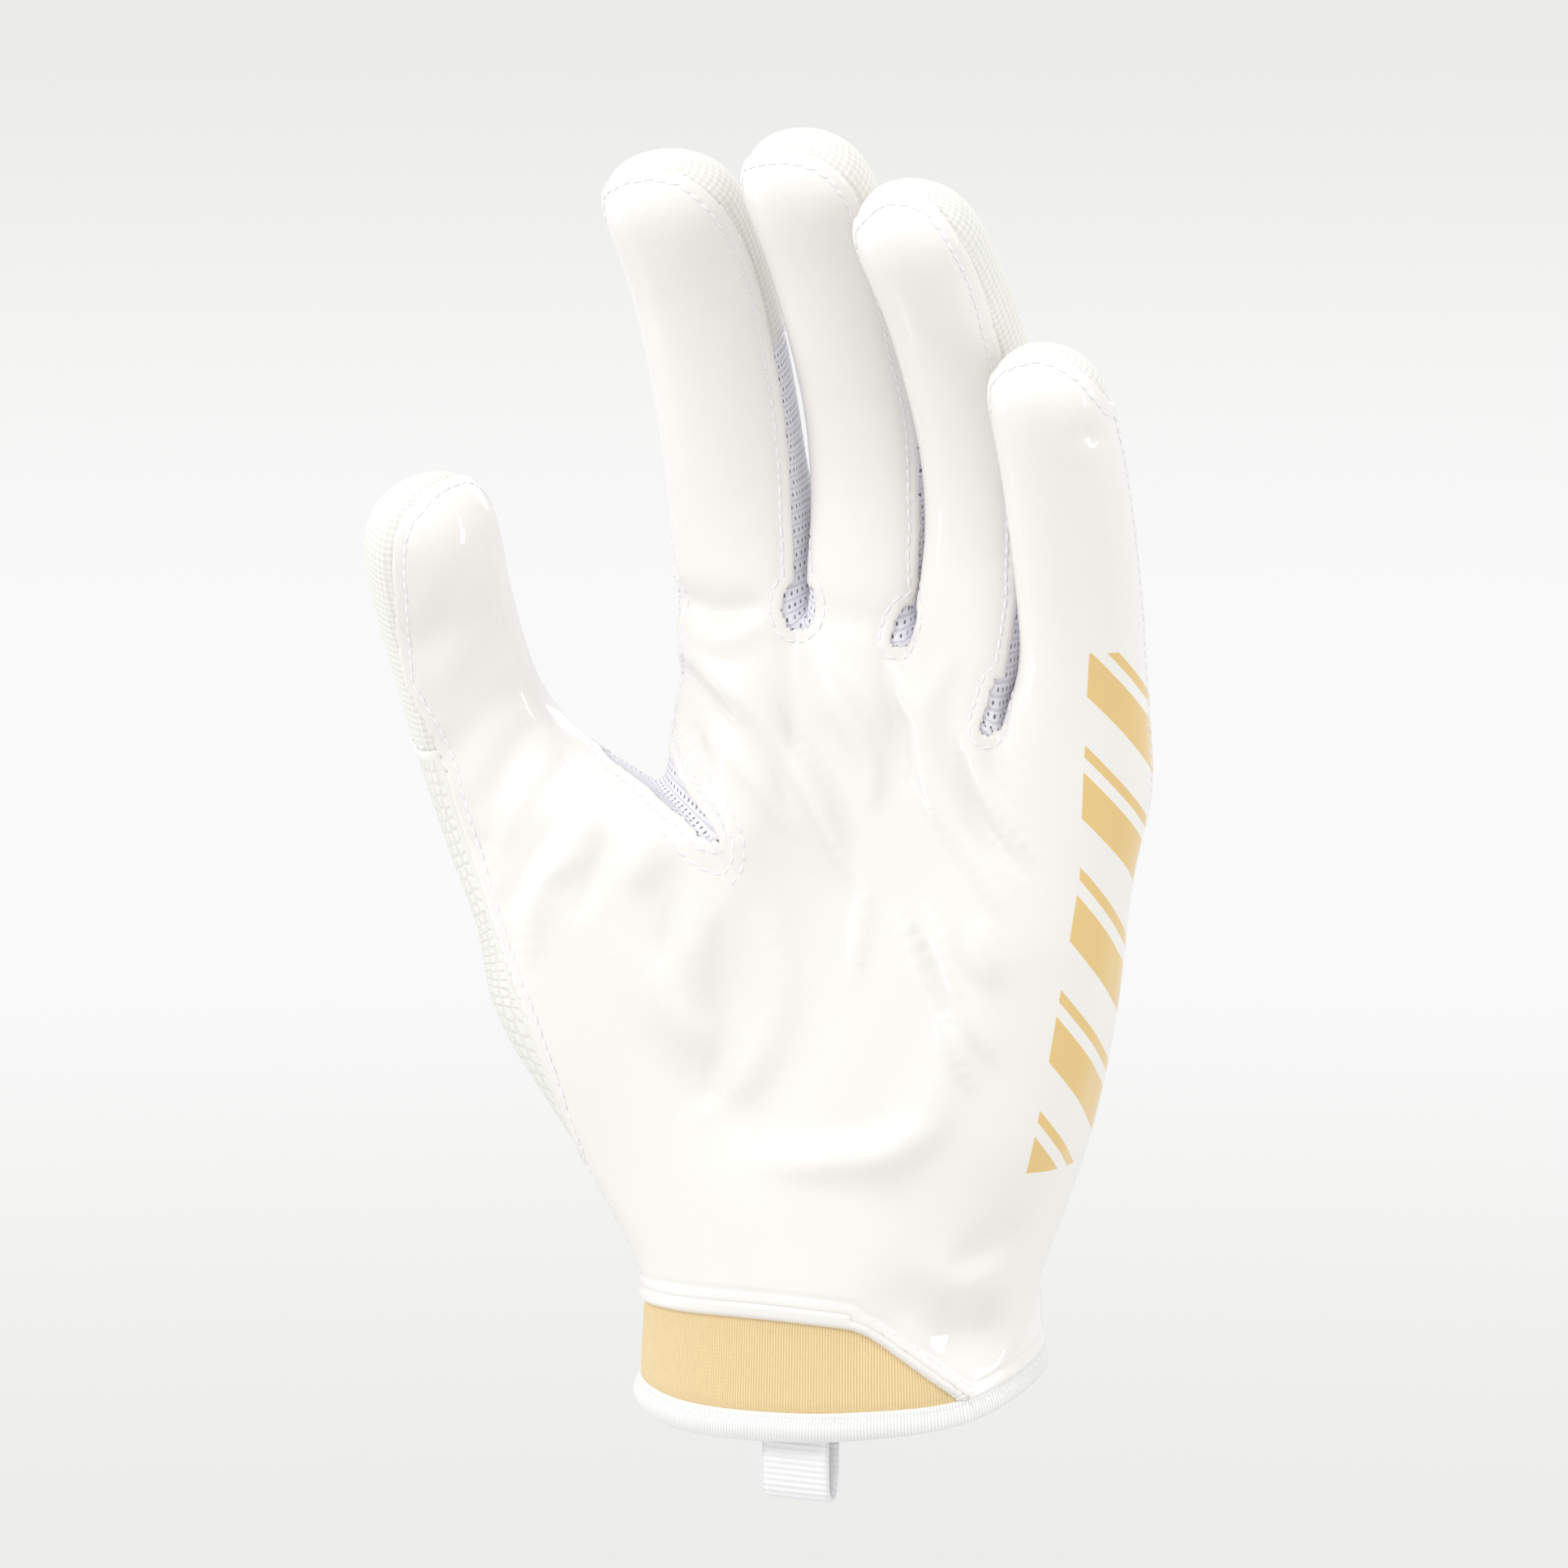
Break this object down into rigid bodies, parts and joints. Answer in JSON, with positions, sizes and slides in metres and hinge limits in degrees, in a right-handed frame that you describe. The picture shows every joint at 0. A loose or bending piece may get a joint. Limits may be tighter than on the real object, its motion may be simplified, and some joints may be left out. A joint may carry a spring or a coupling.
{
  "type": "receiver glove",
  "caption": "Left-hand receiver glove with a gloss grip palm, mesh back, rib knit cuff and a tape pull tab, in the open form it has on a hand.",
  "frame": {"origin": "middle of the wrist opening", "axes": "+Z from the wrist opening towards the fingertips, palm side towards -Y, thumb towards -X, millimetre source scaled to metres"},
  "size_m": [0.1342, 0.0739, 0.2279],
  "materials": {
    "grip_coat": "clear gloss grip coat on white synthetic leather",
    "perforated_mesh": "matt stretch mesh with small holes in rows",
    "embossed_side": "satin cloth with an embossed scale pattern",
    "gold_knit": "matt rib knit",
    "piping": "gloss rolled edge",
    "hem_tape": "soft ribbed elastic tape",
    "cap_cloth": "matt plain weave",
    "tab_tape": "matt grosgrain"
  },
  "bodies": {
    "root": {"palm_panel": "grip_coat", "back_panel": "perforated_mesh", "thumb_side_panel": "embossed_side", "web_gusset": "perforated_mesh", "fourchette_index_middle": "perforated_mesh", "fourchette_middle_ring": "perforated_mesh", "fourchette_ring_little": "perforated_mesh", "cuff_band": "gold_knit", "palm_edge_binding": "piping", "hem_binding": "hem_tape", "thumb_cap": "cap_cloth", "index_cap": "cap_cloth", "middle_cap": "cap_cloth", "ring_cap": "cap_cloth", "little_cap": "cap_cloth", "pull_tab": "tab_tape"}
  },
  "joints": []
}
